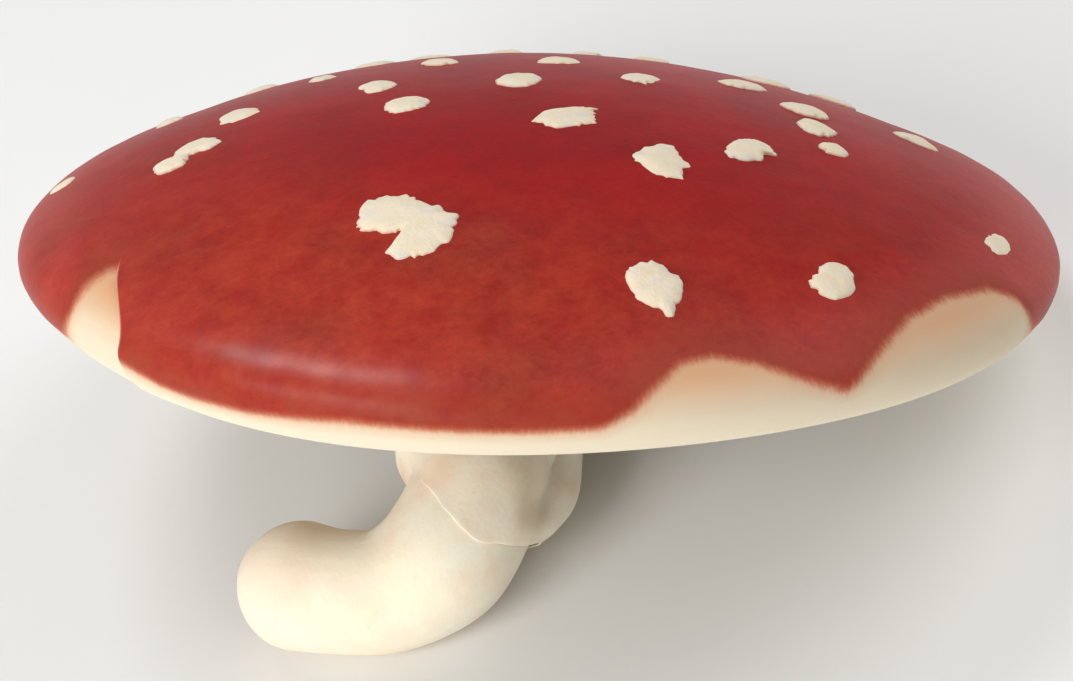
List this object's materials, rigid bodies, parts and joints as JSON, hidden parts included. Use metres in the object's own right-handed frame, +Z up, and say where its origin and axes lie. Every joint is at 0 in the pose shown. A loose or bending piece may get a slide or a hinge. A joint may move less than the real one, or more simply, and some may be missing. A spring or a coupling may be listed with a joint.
{
  "type": "fly agaric mushroom",
  "caption": "Fly agaric mushroom with a wide warty cap, gills, a skirt-like ring and a hooked stem, lying on its cap rim and heel.",
  "frame": {"origin": "centre of the bounding box, on the surface that the mushroom lies on", "axes": "+Z up from that surface; -Y towards the side the picture shows; the cap's axis leans 24 degrees to the back right; the stem's hooked foot points to the left, along -X"},
  "size_m": [0.1444, 0.143, 0.066],
  "materials": {
    "cap_skin": "satin, slightly moist red skin with matt cream warts and a cream margin",
    "gill_flesh": "matt cream white blades",
    "ring_flesh": "matt cream skirt with fine grooves",
    "stem_flesh": "matt cream, finely fibrous"
  },
  "bodies": {
    "root": {"cap": "cap_skin", "gills": "gill_flesh", "ring": "ring_flesh", "stem": "stem_flesh"}
  },
  "joints": []
}
